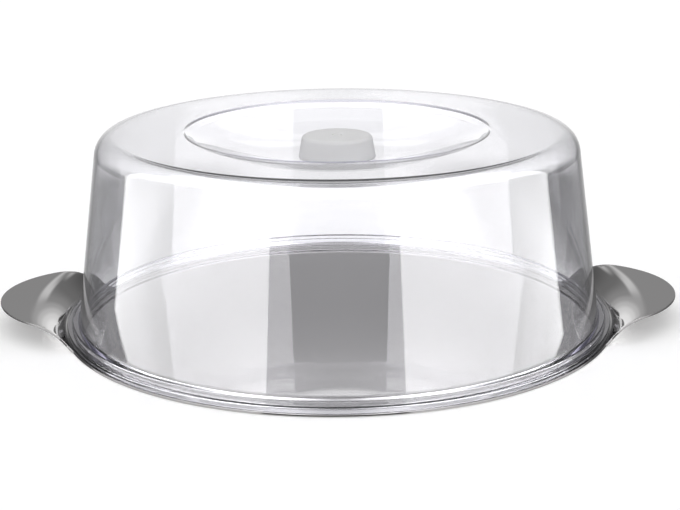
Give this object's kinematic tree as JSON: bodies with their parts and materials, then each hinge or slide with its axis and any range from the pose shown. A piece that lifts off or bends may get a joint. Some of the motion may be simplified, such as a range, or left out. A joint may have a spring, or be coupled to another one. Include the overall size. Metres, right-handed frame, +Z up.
{
  "type": "cake stand with dome",
  "caption": "Round satin steel serving plate with a wing handle on each side, under a clear drafted cover with a sunken top and a frosted knob; the cover lifts off.",
  "frame": {"origin": "on the supporting surface, under the middle of the round plate", "axes": "+Z up, +X through the middles of the two wing handles, -Y towards the side seen in the picture"},
  "size_m": [0.3832, 0.31, 0.1093],
  "materials": {
    "satin_steel": "satin stainless steel sheet, fine non-directional grain",
    "clear_plastic": "clear, polished, faint blue-violet tint in thick edges",
    "frosted_plastic": "frosted, translucent light grey"
  },
  "bodies": {
    "plate": {"serving_plate": "satin_steel"},
    "lid": {"cover": "clear_plastic", "knob": "frosted_plastic"}
  },
  "joints": [
    {"name": "cover_lift", "type": "slide", "parent": "plate", "child": "lid", "axis": [0, 0, 1], "range_m": [0, 0.16]}
  ]
}
